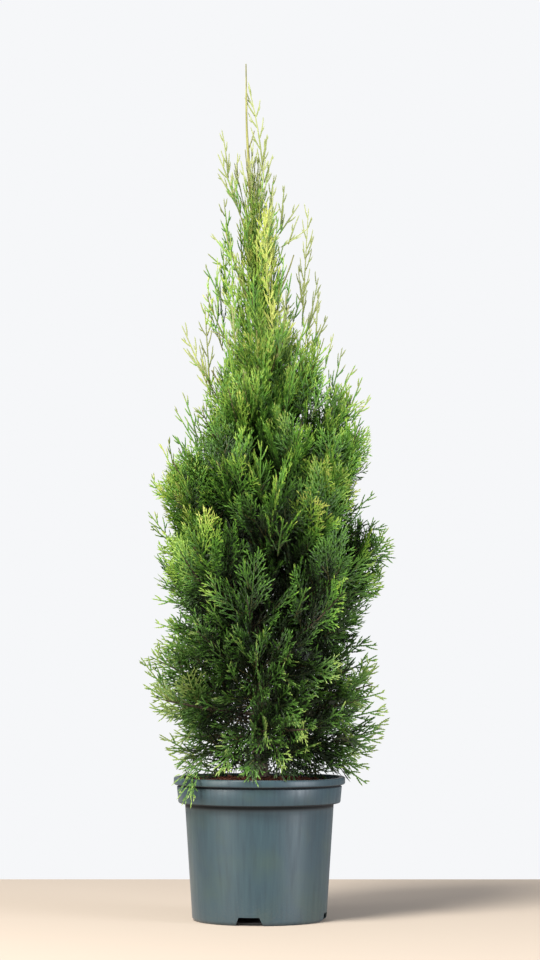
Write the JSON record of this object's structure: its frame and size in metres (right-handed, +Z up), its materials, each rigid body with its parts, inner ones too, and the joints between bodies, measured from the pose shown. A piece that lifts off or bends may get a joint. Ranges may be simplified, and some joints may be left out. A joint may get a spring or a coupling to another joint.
{
  "type": "potted thuja",
  "caption": "Young columnar conifer with scale-leaved sprays on a single leaning trunk, growing in a round tapered plastic nursery pot with a rim band and drain notches.",
  "frame": {"origin": "centre of the pot's flat underside, on the surface that it stands on", "axes": "+Z up along the trunk, -Y towards the front from which the plant is seen, +X to that viewer's right"},
  "size_m": [0.3743, 0.3589, 1.304],
  "materials": {
    "pot": "matte blue-grey polypropylene, slightly dusty",
    "potting_mix": "crumbly bark and peat",
    "bark": "thin fibrous bark",
    "foliage": "satin scale leaves"
  },
  "bodies": {
    "root": {"pot": "pot", "potting_mix": "potting_mix", "trunk": "bark", "bough_01": "bark", "bough_02": "bark", "bough_03": "bark", "bough_04": "bark", "bough_05": "bark", "bough_06": "bark", "bough_07": "bark", "bough_08": "bark", "bough_09": "bark", "bough_10": "bark", "bough_11": "bark", "bough_12": "bark", "bough_13": "bark", "bough_14": "bark", "bough_15": "bark", "bough_16": "bark", "bough_17": "bark", "bough_18": "bark", "bough_19": "bark", "bough_20": "bark", "bough_21": "bark", "bough_22": "bark", "bough_23": "bark", "bough_24": "bark", "foliage_01": "foliage", "foliage_02": "foliage", "foliage_03": "foliage", "foliage_04": "foliage", "foliage_05": "foliage", "foliage_06": "foliage", "foliage_07": "foliage", "foliage_08": "foliage", "foliage_09": "foliage", "foliage_10": "foliage", "foliage_11": "foliage", "foliage_12": "foliage", "foliage_13": "foliage", "foliage_14": "foliage", "foliage_15": "foliage", "foliage_16": "foliage", "foliage_17": "foliage", "foliage_18": "foliage", "foliage_19": "foliage", "foliage_20": "foliage", "foliage_21": "foliage", "foliage_22": "foliage", "foliage_23": "foliage", "foliage_24": "foliage", "foliage_25": "foliage", "foliage_26": "foliage", "foliage_27": "foliage", "foliage_28": "foliage", "foliage_29": "foliage", "foliage_30": "foliage"}
  },
  "joints": []
}
